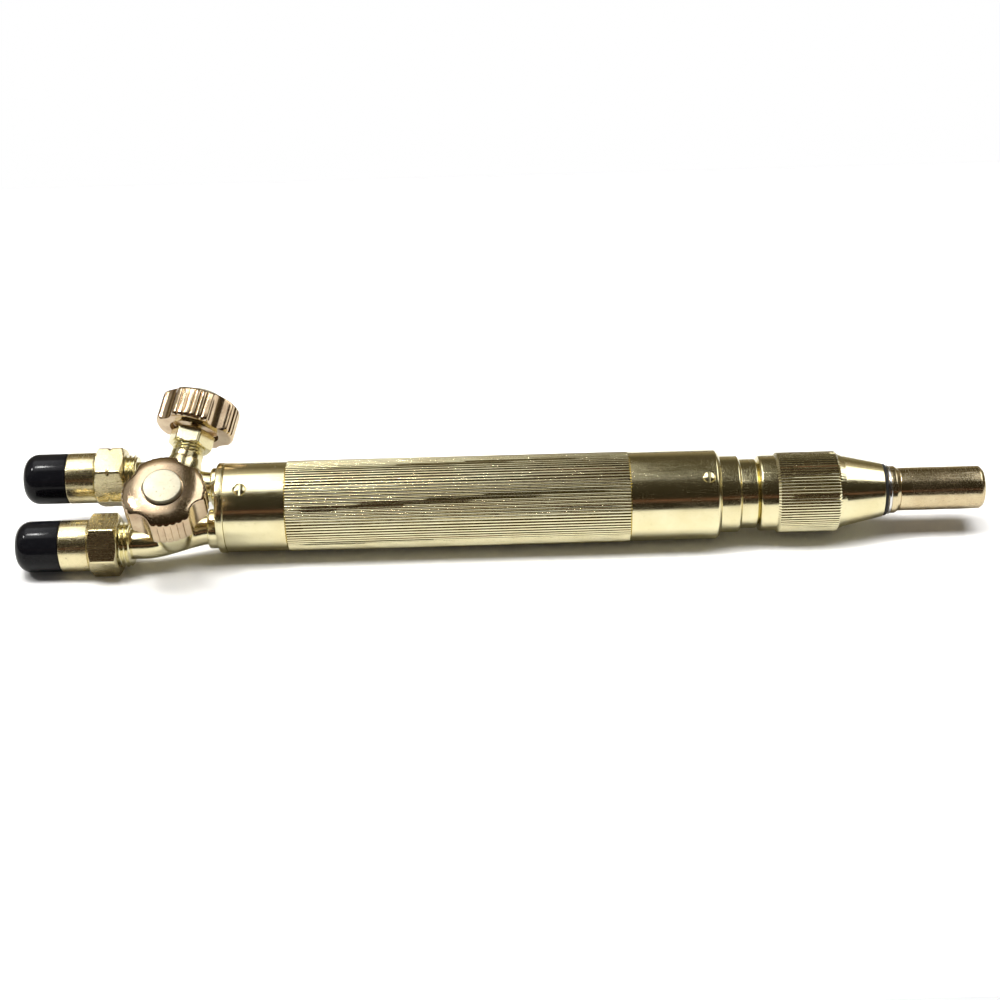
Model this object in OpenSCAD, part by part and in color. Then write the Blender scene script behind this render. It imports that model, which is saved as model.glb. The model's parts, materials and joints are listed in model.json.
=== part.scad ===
// Hand torch for glass work: a brass handle with two valved gas inlets, check valves and a screw-on tip.
// The torch axis is X with the tip at +X, Z is up, and the origin is in the middle of the plain band
// at the front of the handle. It lies on its knurled grip and on one flat of the lower check valve nut.

/* [Handle] */
// Length of the handle tube
handle_len = 155.6; // [150:0.1:166]
// Diameter over the knurled grip
grip_d = 28.6; // [28.4:0.1:29.4]
// Diameter of the plain bands at both ends of the handle
band_d = 28.3; // [28:0.1:28.4]
// Length of the plain band behind the grip
rear_band_len = 19.2; // [16:0.1:22]
// Length of the plain band in front of the grip
front_band_len = 28.3; // [26:0.1:30]
// Number of straight grooves round the grip
grip_grooves = 84; // [48:1:90]
// Bore of the handle tube
handle_bore_d = 24.3; // [24.3:0.05:24.8]

/* [Inlets] */
// Distance of each inlet from the torch axis at the hose end
inlet_offset = 12.5; // [12:0.1:14]
// Distance of each inlet from the torch axis where it enters the rear head
exit_offset = 7.7; // [7.4:0.1:8]
// Outside diameter of the inlet tubes
arm_d = 9.5; // [9:0.1:10]
// Slope of the inlet tubes where they close in on the axis, in degrees
arm_slope = 18; // [14:1:22]
// Diameter of the 9/16 inch inlet thread
inlet_thread_d = 14.28; // [14:0.02:14.5]

/* [Valves] */
// Direction of the oxygen valve round the torch axis, in degrees up from -Y
oxygen_valve_angle = 64; // [50:1:70]
// Direction of the fuel valve round the torch axis, in degrees up from -Y
fuel_valve_angle = 144; // [135:1:155]
// Lean of the oxygen valve towards the tip, in degrees
oxygen_valve_lean = 1.5; // [-4:0.5:6]
// Lean of the fuel valve towards the tip, in degrees
fuel_valve_lean = 13.5; // [4:0.5:18]
// How far the oxygen knob is turned from having a lobe towards the tip, in degrees
oxygen_knob_turn = 13; // [0:1:44]
// Diameter over the knob's lobes
knob_d = 25.9; // [25:0.1:28]
// Width across the flats of the packing nuts
packing_nut_af = 12.7; // [12:0.1:13.2]

/* [Check valves] */
// Width across the flats of the swivel nuts, 11/16 inch
swivel_af = 17.46; // [17:0.01:18]
// Diameter of the round body of a check valve
check_d = 16.2; // [16:0.1:17]
// Pitch diameter of the 9/16-18 hose thread
hose_thread_d = 13.38; // [13.2:0.02:13.5]

/* [Tip] */
// Diameter over the knurl of the coupling nut
nut_d = 25.4; // [25:0.1:26]
// Number of straight grooves round the coupling nut
nut_grooves = 80; // [60:1:90]
// Diameter of the tip tube
tip_d = 13.65; // [13.2:0.05:14]
// Length of the tip tube in front of its body
tip_len = 26.9; // [20:0.1:40]
// Number of gas ports round the middle one
outer_ports = 6; // [4:1:8]

/* [Hidden] */
$fn = 96;

// Colours
brass = [0.83, 0.70, 0.42];
satin_brass = [0.78, 0.62, 0.34];
bronze = [0.74, 0.56, 0.44];
steel = [0.80, 0.80, 0.82];
black = [0.08, 0.08, 0.08];
white = [0.92, 0.92, 0.90];

// Radial gap of a joint brazed or pressed together, and of one that turns or slides
snug = 0.03;
running = 0.06;

// Handle, along X
grip_r = grip_d / 2;
band_r = band_d / 2;
handle_bore_r = handle_bore_d / 2;
handle_front = front_band_len / 2;
handle_rear = handle_front - handle_len;
grip_front = -front_band_len / 2;
grip_rear = handle_rear + rear_band_len;
knurl_depth = 0.4;
handle_bevel = 1.25;
plug_r = handle_bore_r - snug;

// Handle screws
screw_angle = 55;
screw_x = [handle_rear + 5.4, handle_front - 4.1];
screw_head_r = 1.95;
screw_head_base = band_r - 0.9;
screw_shank_r = 1;
screw_root = band_r - 4.6;

// Rear head
flange_rear = handle_rear - 2.5;
arm_boss_rear = flange_rear - 2.9;
arm_boss_r = 6.2;
arm_socket_front = flange_rear + 2;
rear_plug_front = handle_rear + 14;
passage_r = 2.2;

// Feed tubes
feed_r = 2.5;
feed_bore_r = 1.7;
feed_rear = rear_plug_front - 7;
feed_front = 0.8;

// Front head
front_plug_rear = -4;
shoulder_x = handle_front + 6.4;
neck_r = 11;
neck_front = shoulder_x + 5.35;
nut_thread_r = 9.45;
head_front = neck_front + 12.8;
spigot_bore_r = 4.6;
spigot_bore_rear = shoulder_x - 2.4;
seat_mouth_r = 7;
seat_depth = 2.4;
feed_stop = 1;

// Inlet arms: each is flat in the plane through the torch axis and its own axis
arm_r = arm_d / 2;
inlet_thread_r = inlet_thread_d / 2;
corner_2_x = flange_rear - 4.7;
corner_1_x = corner_2_x - (inlet_offset - exit_offset) / tan(arm_slope);
corner_1 = [corner_1_x, 0, inlet_offset];
corner_2 = [corner_2_x, 0, exit_offset];
thread_front = corner_1_x - 7.05;
thread_rear = thread_front - 9.3;
valve_centre = corner_1 + 0.4 * (corner_2 - corner_1);

// The lower inlet is turned down until the flat of its nut is level with the bottom of the grip
oxygen_angle = -asin((grip_r - swivel_af / 2) / inlet_offset);
fuel_angle = oxygen_angle + 180;

// Valves, measured along each valve's axis from the centre line of its arm
boss_r = 6;
boss_bottom = -1.5;
boss_top = 8.6;
neck_thread_r = 5.2;
neck_top = 14;
stem_bore_r = 3.05;
seat_hole_r = 1.25;
seat_top = 2.2;
gland_r = 3.9;
gland_floor = 10.2;
nut_bottom = 11.6;
nut_top = 17;
stem_r = 1.95;
knob_bottom = 17.3;
knob_rim = 26.7;
knob_top = 29.2;
knob_r = knob_d / 2;
knob_recess_r = 8;
knob_recess_top = 19.6;
hub_r = 5.9;
hub_top = 30.7;
stem_head_r = 1.6;
stem_top = 25;

// Check valves, along X
swivel_front = thread_front - 3.8;
swivel_rear = swivel_front - 9.2;
check_front = swivel_rear - 0.2;
check_rear = check_front - 9;
hose_end = check_rear - 10.6;
tail_r = 5.2;
tail_end = thread_rear - 0.1;
ring_groove_x = tail_end - 1.3;
hose_bore_r = 3.2;
check_seat_x = check_rear - 3.6;
check_seat_len = 2;
check_chamber_r = 3.7;
chamber_rear = check_seat_x + check_seat_len;
poppet_rear = chamber_rear + 0.45;
poppet_front = poppet_rear + 1.4;
retainer_rear = check_front - 1.2;
retainer_len = 1;
cap_r = 8.05;
cap_bore_r = 7.25;
cap_front = check_rear - 0.15;
cap_len = 14;

// Tip, along X
nut_rear = neck_front + 0.6;
nut_band_front = nut_rear + 5;
nut_r = nut_d / 2;
nut_band_r = nut_r - 0.75;
nut_mouth_r = nut_thread_r + 1.1;
knurl_rear = nut_band_front + 0.7;
knurl_front = knurl_rear + 19.2;
nose_rear = knurl_front + 1.9;
nose_front = nose_rear + 12.5;
nose_rear_r = 11.25;
nose_front_r = 8.5;
spigot_r = spigot_bore_r - 0.1;
spigot_rear = spigot_bore_rear + 1.5;
tip_flange_rear = head_front + 0.1;
tip_flange_front = tip_flange_rear + 2.6;
tip_flange_r = 8.7;
shaft_r = 7.5;
nut_shoulder = tip_flange_front + 0.1;
oring_rear = nose_front + 0.05;
ring_rear = nose_front + 1.25;
ring_len = 1.2;
body_front = ring_rear + 3.9;
tip_r = tip_d / 2;
tip_front = body_front + tip_len;
tip_spigot_r = 5.5;
tip_spigot_rear = body_front - 8;
tip_bore_r = 5;
mixer_rear = spigot_rear + 5;
mixer_len = 22;
mixer_r = 2.7;
fuel_ring_x = spigot_rear + 6.4;
oring_x = [spigot_rear + 3, spigot_rear + 10];

function radial(angle) = [0, -cos(angle), sin(angle)];
function gas_angle(side) = side == "oxygen" ? oxygen_angle : fuel_angle;
function valve_angle(side) = side == "oxygen" ? oxygen_valve_angle : fuel_valve_angle;
function valve_lean(side) = side == "oxygen" ? oxygen_valve_lean : fuel_valve_lean;
function valve_base(side) = [valve_centre[0], 0, 0] + valve_centre[2] * radial(gas_angle(side));

// The point at height z on a valve's axis, moved x towards the tip across it
function valve_point(side, x, z) =
    let (lean = valve_lean(side))
    valve_base(side) + [x * cos(lean) + z * sin(lean), 0, 0]
        + (z * cos(lean) - x * sin(lean)) * radial(valve_angle(side));

// A solid of revolution about X under an outline of [x, radius] points
module turned(outline) {
    last = len(outline) - 1;
    rotate([0, 90, 0]) rotate_extrude()
        polygon(concat([[0, outline[0][0]]], [for (p = outline) [p[1], p[0]]], [[0, outline[last][0]]]));
}

// The same about Z, for outlines of [height, radius] points
module turned_up(outline) {
    rotate([0, -90, 0]) turned(outline);
}

// A cylinder along X
module rod(x0, x1, r) {
    translate([x0, 0, 0]) rotate([0, 90, 0]) cylinder(h = x1 - x0, r = r);
}

// A cylinder along Z
module post(z0, z1, r) {
    translate([0, 0, z0]) cylinder(h = z1 - z0, r = r);
}

// A cylinder from one point to another
module drilling(p, q, r) {
    d = q - p;
    translate(p) rotate([0, acos(d[2] / norm(d)), atan2(d[1], d[0])]) cylinder(h = norm(d), r = r);
}

// A straight-knurled bar along X
module knurled(x0, x1, r, depth, grooves) {
    step = 360 / grooves;
    translate([x0, 0, 0]) rotate([0, 90, 0]) linear_extrude(x1 - x0)
        polygon([for (i = [0 : grooves - 1], k = [0, 1])
                 (r - k * depth) * [cos((i + k / 2) * step), sin((i + k / 2) * step)]]);
}

// Children drawn along Z point away from the torch axis in the given direction
module outward(angle) {
    rotate([90 - angle, 0, 0]) children();
}

// Children drawn along X are moved onto an inlet's axis
module on_inlet(side) {
    translate(inlet_offset * radial(gas_angle(side))) children();
}

// Children drawn along Z are moved onto a valve's axis
module on_valve(side) {
    translate(valve_base(side)) outward(valve_angle(side)) rotate([0, valve_lean(side), 0]) children();
}

// Handle: a tube with a knurled grip between two plain bands
module handle_tube() {
    color(brass) difference() {
        union() {
            rod(handle_rear, grip_rear, band_r);
            knurled(grip_rear, grip_front, grip_r, knurl_depth, grip_grooves);
            turned([[grip_front, band_r], [handle_front - handle_bevel, band_r],
                    [handle_front, band_r - handle_bevel]]);
        }
        rod(handle_rear - 1, handle_front + 1, handle_bore_r);
        for (x = screw_x) translate([x, 0, 0]) outward(screw_angle) {
            post(handle_bore_r - 2, band_r + 1, screw_shank_r + 0.1);
            post(screw_head_base, band_r + 1, screw_head_r + 0.15);
        }
    }
}

// Two domed, slotted screws that hold the heads in the handle
module handle_screws() {
    color(brass) for (x = screw_x) translate([x, 0, 0]) outward(screw_angle) difference() {
        turned_up([[screw_root, screw_shank_r], [screw_head_base + 0.02, screw_shank_r],
                   [screw_head_base + 0.02, screw_head_r], [band_r - 0.5, screw_head_r],
                   [band_r - 0.2, screw_head_r - 0.6], [band_r - 0.05, 0.5]]);
        translate([-0.25, -3, band_r - 0.5]) cube([0.5, 6, 1]);
    }
}

// Rear head: the flange and plug behind the handle, with a socket for each inlet arm
module rear_head() {
    color(brass) difference() {
        union() {
            rod(flange_rear, handle_rear, grip_r);
            rod(handle_rear, rear_plug_front, plug_r);
            for (side = ["oxygen", "fuel"]) translate(exit_offset * radial(gas_angle(side)))
                rod(arm_boss_rear, flange_rear + 0.5, arm_boss_r);
        }
        for (side = ["oxygen", "fuel"]) translate(exit_offset * radial(gas_angle(side))) {
            rod(arm_boss_rear - 1, arm_socket_front, arm_r + snug);
            rod(arm_socket_front - 0.1, rear_plug_front + 1, passage_r);
            rod(feed_rear - 0.2, rear_plug_front + 1, feed_r + snug);
        }
        translate([screw_x[0], 0, 0]) outward(screw_angle)
            post(screw_root - 0.4, band_r, screw_shank_r + snug);
    }
}

// Feed tube: carries one gas through the handle
module feed_tube(side) {
    color(brass) translate(exit_offset * radial(gas_angle(side))) difference() {
        rod(feed_rear, feed_front, feed_r);
        rod(feed_rear - 1, feed_front + 1, feed_bore_r);
    }
}

// Front head: plugs the handle, seats the tip's spigot and carries the coupling thread
module front_head() {
    oxygen_end = [feed_stop, 0, 0] + exit_offset * radial(oxygen_angle);
    fuel_end = [feed_stop, 0, 0] + exit_offset * radial(fuel_angle);
    color(brass) difference() {
        turned([[front_plug_rear, plug_r], [shoulder_x - 0.7, plug_r], [shoulder_x, plug_r - 0.7],
                [shoulder_x, neck_r], [neck_front - 0.4, neck_r], [neck_front + 0.65, nut_thread_r],
                [head_front - 0.8, nut_thread_r], [head_front, nut_thread_r - 0.8]]);
        turned([[head_front - seat_depth, spigot_bore_r], [head_front, seat_mouth_r],
                [head_front + 1, seat_mouth_r]]);
        rod(spigot_bore_rear, head_front, spigot_bore_r);
        for (side = ["oxygen", "fuel"]) translate(exit_offset * radial(gas_angle(side)))
            rod(front_plug_rear - 1, feed_stop, feed_r + snug);
        drilling(oxygen_end - [0.5, 0, 0], [spigot_bore_rear - 4, 0, 0], 1.2);
        rod(spigot_bore_rear - 4.5, spigot_bore_rear + 0.1, 1.4);
        drilling(fuel_end - [0.5, 0, 0], [fuel_ring_x + 1, 0, 0] + exit_offset * radial(fuel_angle), 1.3);
        translate([fuel_ring_x, 0, 0]) drilling(3 * radial(fuel_angle), 8 * radial(fuel_angle), 1.1);
        translate([screw_x[1], 0, 0]) outward(screw_angle)
            post(screw_root - 0.4, band_r, screw_shank_r + snug);
    }
}

// One straight stretch of an inlet arm, run a little past both its ends so that the corners close
module arm_run(p, q, over, r) {
    along = (q - p) / norm(q - p);
    drilling(p - over * along, q + over * along, r);
}

// Inlet arm: one forging with the inlet thread, a bent tube and the valve boss
module inlet_arm(side) {
    color(brass) difference() {
        union() {
            outward(gas_angle(side)) {
                arm_run([thread_front - 2, 0, inlet_offset], corner_1, 0.9, arm_r);
                arm_run(corner_1, corner_2, 0.9, arm_r);
                arm_run(corner_2, [arm_socket_front - 1, 0, exit_offset], 0.9, arm_r);
                translate([0, 0, inlet_offset])
                    turned([[thread_rear, inlet_thread_r - 0.8], [thread_rear + 0.8, inlet_thread_r],
                            [thread_front - 0.6, inlet_thread_r], [thread_front, inlet_thread_r - 0.6]]);
            }
            on_valve(side) turned_up([[boss_bottom, boss_r - 2], [boss_bottom + 1.6, boss_r],
                [boss_top - 0.9, boss_r], [boss_top, boss_r - 0.9], [boss_top, neck_thread_r],
                [neck_top - 0.4, neck_thread_r], [neck_top, neck_thread_r - 0.4]]);
        }
        outward(gas_angle(side)) {
            arm_run([thread_rear - 1, 0, inlet_offset], corner_1, 0.4, passage_r);
            arm_run(corner_1, valve_centre - [0.6, 0, 0], 0.4, passage_r);
            arm_run(valve_centre + [4.6, 0, -1.5], corner_2, 0.4, passage_r);
            arm_run(corner_2, [arm_socket_front + 1, 0, exit_offset], 0.4, passage_r);
        }
        drilling(valve_point(side, 1.8, 3.6),
                 valve_base(side) + [6.2, 0, 0] - 1.9 * radial(gas_angle(side)), 1.1);
        on_valve(side) {
            post(-1.4, seat_top + 0.1, seat_hole_r);
            post(seat_top, neck_top + 1, stem_bore_r);
            post(gland_floor, neck_top + 1, gland_r);
        }
    }
}

// Packing nut: presses the packing round the stem
module packing_nut(side) {
    color(brass) on_valve(side) difference() {
        intersection() {
            translate([0, 0, nut_bottom])
                cylinder(h = nut_top - nut_bottom, d = packing_nut_af / cos(30), $fn = 6);
            turned_up([[nut_bottom, packing_nut_af / 2 - 0.1], [nut_bottom + 0.6, packing_nut_af / 2 + 0.95],
                       [nut_top - 0.9, packing_nut_af / 2 + 0.95], [nut_top, packing_nut_af / 2 - 0.6]]);
        }
        post(nut_bottom - 1, neck_top + 0.3, neck_thread_r + snug);
        post(neck_top, nut_top + 1, stem_r + 0.15);
    }
}

// Packing ring: seals the stem
module packing_ring(side) {
    color(white) on_valve(side) difference() {
        post(gland_floor + 0.05, gland_floor + 2.4, gland_r - snug);
        post(gland_floor - 1, gland_floor + 4, stem_r + running);
    }
}

// Gland washer: between the packing ring and the packing nut
module gland_washer(side) {
    color(brass) on_valve(side) difference() {
        post(gland_floor + 2.45, neck_top + 0.2, gland_r - snug);
        post(gland_floor + 1, neck_top + 1, stem_r + running);
    }
}

// Valve stem: needle point, O-ring groove, thread and shaft
module valve_stem(side) {
    color(brass) on_valve(side) difference() {
        turned_up([[0.8, 0.3], [2.1, 1.13], [3.3, 2.4], [3.8, 2.4], [3.8, 1.6], [5, 1.6],
                   [5, stem_bore_r - 0.1], [7.6, stem_bore_r - 0.1], [8, stem_r], [knob_recess_top - 0.1, stem_r],
                   [knob_recess_top - 0.1, stem_head_r], [stem_top, stem_head_r]]);
        post(stem_top - 4, stem_top + 1, 0.9);
    }
}

// Stem O-ring: rises with the stem without needing to turn
module stem_oring(side) {
    color(black) on_valve(side) translate([0, 0, 4.4]) rotate_extrude() translate([2.25, 0]) circle(r = 0.52);
}

// Outline of the knob: four lobes with scoops between them and grooves across each lobe
module knob_outline() {
    difference() {
        circle(r = knob_r);
        for (i = [0 : 3]) rotate(45 + 90 * i) translate([knob_r * 1.25, 0]) circle(r = knob_r * 0.422);
        for (i = [0 : 3], j = [-2 : 2]) rotate(90 * i + 9.5 * j) translate([knob_r, 0])
            rotate(45) square(0.75, center = true);
    }
}

// Knob: lobed rim under a shallow dome, hollowed over the packing nut
module knob(side) {
    color(bronze) on_valve(side) difference() {
        intersection() {
            translate([0, 0, knob_bottom]) linear_extrude(knob_top - knob_bottom)
                rotate(side == "oxygen" ? oxygen_knob_turn : 0) knob_outline();
            turned_up([[knob_bottom, knob_r - 0.9], [knob_bottom + 0.9, knob_r], [knob_rim - 0.2, knob_r],
                       [knob_rim + 0.9, knob_r - 1.1], [knob_top, hub_r + 0.6]]);
        }
        post(knob_bottom - 1, knob_recess_top, knob_recess_r);
        post(knob_recess_top - 1, stem_top, stem_head_r + snug);
        post(stem_top - 0.1, knob_top + 1, hub_r - 0.5);
    }
}

// Knob screw: holds the knob on its stem
module knob_screw(side) {
    color(steel) on_valve(side) {
        post(stem_top - 3.6, stem_top + 0.05, 0.87);
        post(stem_top + 0.05, stem_top + 1.7, 2.8);
    }
}

// Knob cap: the flat disc in the middle of the knob
module knob_cap(side) {
    color(bronze) on_valve(side) difference() {
        turned_up([[stem_top + 2, hub_r - 0.53], [knob_top + 0.03, hub_r - 0.53], [knob_top + 0.03, hub_r],
                   [hub_top - 0.3, hub_r], [hub_top, hub_r - 0.3]]);
        post(stem_top + 1, knob_top - 0.6, hub_r - 1.3);
    }
}

// Check valve body: hose thread, round barrel and the tail that the swivel nut turns on
module check_body(side) {
    hose_thread_r = hose_thread_d / 2;
    check_r = check_d / 2;
    color(satin_brass) on_inlet(side) difference() {
        turned([[hose_end, hose_thread_r - 0.8], [hose_end + 0.8, hose_thread_r], [check_rear, hose_thread_r],
                [check_rear, check_r - 0.3], [check_rear + 0.3, check_r], [check_front - 0.3, check_r],
                [check_front, check_r - 0.3], [check_front, tail_r], [ring_groove_x, tail_r],
                [ring_groove_x, tail_r - 0.6], [ring_groove_x + 0.85, tail_r - 0.6],
                [ring_groove_x + 0.85, tail_r], [tail_end - 0.3, tail_r], [tail_end, tail_r - 0.3]]);
        rod(hose_end - 1, check_seat_x, hose_bore_r);
        rod(check_seat_x - 0.1, chamber_rear + 0.1, 2);
        rod(chamber_rear, tail_end + 1, check_chamber_r);
    }
}

// Swivel nut: joins the check valve to the inlet thread. The oxygen nut has a flat facing straight down, and
// the fuel nut has a notch across each corner, the usual sign of a left-hand thread.
module swivel_nut(side) {
    corner_r = swivel_af / 2 / cos(30);
    turn = side == "oxygen" ? 30 : 49;
    notch = 0.5;
    color(satin_brass) on_inlet(side) difference() {
        intersection() {
            rotate([turn, 0, 0]) translate([swivel_rear, 0, 0]) rotate([0, 90, 0])
                cylinder(h = swivel_front - swivel_rear, r = corner_r, $fn = 6);
            turned([[swivel_rear, swivel_af / 2 - 0.2], [swivel_rear + 0.85, corner_r + 0.1],
                    [swivel_front - 0.85, corner_r + 0.1], [swivel_front, swivel_af / 2 - 0.2]]);
        }
        rod(swivel_rear - 1, swivel_front + 1, tail_r + 0.1);
        rod(ring_groove_x - 0.1, swivel_front + 1, inlet_thread_r + snug);
        if (side == "fuel") translate([(swivel_rear + swivel_front) / 2, 0, 0]) rotate([0, 90, 0])
            rotate_extrude() polygon([[corner_r - notch, 0], [corner_r + notch, -3.2 * notch],
                                      [corner_r + notch, 3.2 * notch]]);
    }
}

// Swivel ring: snaps into the tail's groove and keeps the swivel nut on the body
module swivel_ring(side) {
    color(steel) on_inlet(side) difference() {
        rod(ring_groove_x + 0.05, ring_groove_x + 0.8, tail_r + 0.75);
        rod(ring_groove_x - 1, ring_groove_x + 2, tail_r - 0.57);
    }
}

// Check valve poppet: a disc on a guide pin
module check_poppet(side) {
    color(brass) on_inlet(side)
        turned([[poppet_rear, check_chamber_r - 0.35], [poppet_front, check_chamber_r - 0.35],
                [poppet_front, 1], [retainer_rear + retainer_len, 1]]);
}

// Poppet seal: the soft face that closes on the seat
module poppet_seal(side) {
    color(black) on_inlet(side) rod(chamber_rear + 0.05, poppet_rear, 2.9);
}

// Point on the spring's wire circle: turn angle t along the coil, angle a round the wire
function spring_point(x0, pitch, t, a) =
    let (coil = 2.3, wire = 0.3, r = coil + wire * cos(a))
    [x0 + pitch * t / 360 + wire * sin(a), r * cos(t), r * sin(t)];

// Closing spring: a round-wire coil between the poppet and the retainer
module check_spring(side) {
    turns = 4;
    steps = 14 * turns;
    sides = 8;
    x0 = poppet_front + 0.35;
    pitch = (retainer_rear - 0.35 - x0) / turns;
    points = [for (i = [0 : steps], j = [0 : sides - 1])
              spring_point(x0, pitch, 360 * turns * i / steps, 360 * j / sides)];
    walls = [for (i = [0 : steps - 1], j = [0 : sides - 1])
             let (k = (j + 1) % sides)
                 [i * sides + j, i * sides + k, (i + 1) * sides + k, (i + 1) * sides + j]];
    rear_end = [for (j = [sides - 1 : -1 : 0]) j];
    front_end = [for (j = [0 : sides - 1]) steps * sides + j];
    color(steel) on_inlet(side) polyhedron(points, concat([rear_end], walls, [front_end]));
}

// Spring retainer: guides the poppet's pin and lets the gas through
module spring_retainer(side) {
    color(brass) on_inlet(side) difference() {
        rod(retainer_rear, retainer_rear + retainer_len, check_chamber_r - snug);
        rod(retainer_rear - 1, retainer_rear + 2, 1 + running);
        for (i = [0 : 3]) rotate([90 * i, 0, 0]) translate([0, 0, 2.35])
            rod(retainer_rear - 1, retainer_rear + 2, 0.75);
    }
}

// Vinyl cap that protects the hose thread
module thread_cap(side) {
    cap_rear = cap_front - cap_len;
    round_r = 4.4;
    color(black) on_inlet(side) difference() {
        turned(concat([[cap_rear, 3.3]],
                      [for (a = [0 : 15 : 90]) [cap_rear + 0.3 + round_r * (1 - cos(a)),
                                                cap_r - round_r * (1 - sin(a))]],
                      [[cap_front, cap_r]]));
        turned([[hose_end - 1.1, 6], [hose_end - 0.2, cap_bore_r], [cap_front + 1, cap_bore_r]]);
    }
}

// Coupling nut: knurled for the hand, with a tapered nose that bears on the tip
module coupling_nut() {
    color(brass) difference() {
        union() {
            turned([[nut_rear, nut_band_r - 0.3], [nut_rear + 0.6, nut_band_r], [nut_band_front, nut_band_r],
                    [knurl_rear, nut_r - 0.2]]);
            knurled(knurl_rear, knurl_front, nut_r, 0.35, nut_grooves);
            turned([[knurl_front, nut_r - 0.2], [nose_rear, nose_rear_r], [nose_front, nose_front_r]]);
        }
        rod(nut_rear - 1, nut_shoulder, nut_thread_r + running);
        turned([[nut_rear - 1, nut_mouth_r], [nut_rear, nut_mouth_r], [nut_rear + 1.2, nut_thread_r]]);
        rod(nut_shoulder - 1, nose_front + 1, shaft_r + running);
    }
}

// Tip body: sealed spigot, cone seat, flange and the shaft that the nut turns on
module tip_body() {
    color(satin_brass) difference() {
        turned([[spigot_rear, spigot_r - 0.5], [spigot_rear + 0.5, spigot_r], [oring_x[0] - 0.65, spigot_r],
                [oring_x[0] - 0.65, spigot_r - 0.85], [oring_x[0] + 0.65, spigot_r - 0.85],
                [oring_x[0] + 0.65, spigot_r], [oring_x[1] - 0.65, spigot_r],
                [oring_x[1] - 0.65, spigot_r - 0.85], [oring_x[1] + 0.65, spigot_r - 0.85],
                [oring_x[1] + 0.65, spigot_r], [head_front - seat_depth, spigot_r],
                [head_front, seat_mouth_r - 0.1], [tip_flange_rear, seat_mouth_r - 0.1],
                [tip_flange_rear, tip_flange_r], [tip_flange_front, tip_flange_r],
                [tip_flange_front, shaft_r], [ring_rear, shaft_r], [ring_rear, shaft_r - 0.6], [ring_rear + ring_len, shaft_r - 0.6],
                [ring_rear + ring_len, shaft_r], [body_front - 1.3, shaft_r], [body_front, tip_r]]);
        rod(spigot_rear - 1, mixer_rear, 1.5);
        rod(mixer_rear - 0.1, tip_spigot_rear + 1, mixer_r);
        rod(tip_spigot_rear - 0.1, body_front + 1, tip_spigot_r + snug);
        for (a = [0, 90])
            drilling([fuel_ring_x, 0, 0] - 6 * radial(a), [fuel_ring_x, 0, 0] + 6 * radial(a), 0.7);
    }
}

// Gas mixer: oxygen runs down its middle and draws the fuel gas in through the waist
module gas_mixer() {
    color(brass) difference() {
        turned([[mixer_rear + 0.1, mixer_r - snug], [fuel_ring_x - 0.8, mixer_r - snug],
                [fuel_ring_x - 0.8, 1.9], [fuel_ring_x + 0.8, 1.9], [fuel_ring_x + 0.8, mixer_r - snug],
                [mixer_rear + mixer_len, mixer_r - snug]]);
        rod(mixer_rear - 1, mixer_rear + mixer_len + 1, 0.8);
        drilling([fuel_ring_x, 0, -3], [fuel_ring_x, 0, 3], 0.5);
    }
}

// Two O-rings that keep the gases apart on the spigot
module mixer_orings() {
    section_r = 0.42;
    color(black) for (x = oring_x) translate([x, 0, 0]) rotate([0, 90, 0])
        rotate_extrude() translate([spigot_r - 0.85 + section_r + 0.02, 0]) circle(r = section_r);
}

// Black ring between the nut's nose and the retaining ring
module tip_nose_oring() {
    color(black) difference() {
        turned([[oring_rear, nose_front_r - 0.55], [oring_rear + 0.3, nose_front_r - 0.25],
                [oring_rear + 0.8, nose_front_r - 0.25], [oring_rear + 1.1, nose_front_r - 0.55]]);
        rod(oring_rear - 1, oring_rear + 3, shaft_r + snug);
    }
}

// Silver ring that keeps the nut on the tip
module tip_retaining_ring() {
    color(steel) difference() {
        turned([[ring_rear + 0.04, shaft_r + 0.1], [ring_rear + 0.2, shaft_r + 0.26],
                [ring_rear + ring_len - 0.2, shaft_r + 0.26], [ring_rear + ring_len - 0.04, shaft_r + 0.1]]);
        rod(ring_rear - 1, ring_rear + 3, shaft_r - 0.57);
    }
}

// Tip tube
module tip_tube() {
    color(satin_brass) difference() {
        union() {
            rod(tip_spigot_rear, body_front, tip_spigot_r);
            turned([[body_front, tip_r], [tip_front - 1.4, tip_r], [tip_front - 0.4, tip_r - 0.5],
                    [tip_front, tip_r - 1.1]]);
        }
        rod(tip_spigot_rear - 1, tip_front + 1, tip_bore_r - 0.6);
        rod(tip_front - 8, tip_front + 1, tip_bore_r);
    }
}

// Port insert: one middle port and a ring of outer ports
module tip_port_insert() {
    color(brass) difference() {
        rod(tip_front - 7.9, tip_front - 0.9, tip_bore_r - snug);
        rod(tip_front - 9, tip_front, 0.7);
        for (i = [0 : outer_ports - 1]) rotate([360 / outer_ports * i, 0, 0]) translate([0, 0, 3])
            rod(tip_front - 9, tip_front, 0.45);
    }
}

handle_tube();
handle_screws();
rear_head();
front_head();
feed_tube("oxygen");  // oxygen_feed_tube
feed_tube("fuel");  // fuel_feed_tube
inlet_arm("oxygen");  // oxygen_inlet_arm
inlet_arm("fuel");  // fuel_inlet_arm
packing_nut("oxygen");  // oxygen_packing_nut
packing_nut("fuel");  // fuel_packing_nut
packing_ring("oxygen");  // oxygen_packing_ring
packing_ring("fuel");  // fuel_packing_ring
gland_washer("oxygen");  // oxygen_gland_washer
gland_washer("fuel");  // fuel_gland_washer
valve_stem("oxygen");  // oxygen_valve_stem
valve_stem("fuel");  // fuel_valve_stem
stem_oring("oxygen");  // oxygen_stem_oring
stem_oring("fuel");  // fuel_stem_oring
knob("oxygen");  // oxygen_knob
knob("fuel");  // fuel_knob
knob_screw("oxygen");  // oxygen_knob_screw
knob_screw("fuel");  // fuel_knob_screw
knob_cap("oxygen");  // oxygen_knob_cap
knob_cap("fuel");  // fuel_knob_cap
check_body("oxygen");  // oxygen_check_body
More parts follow.
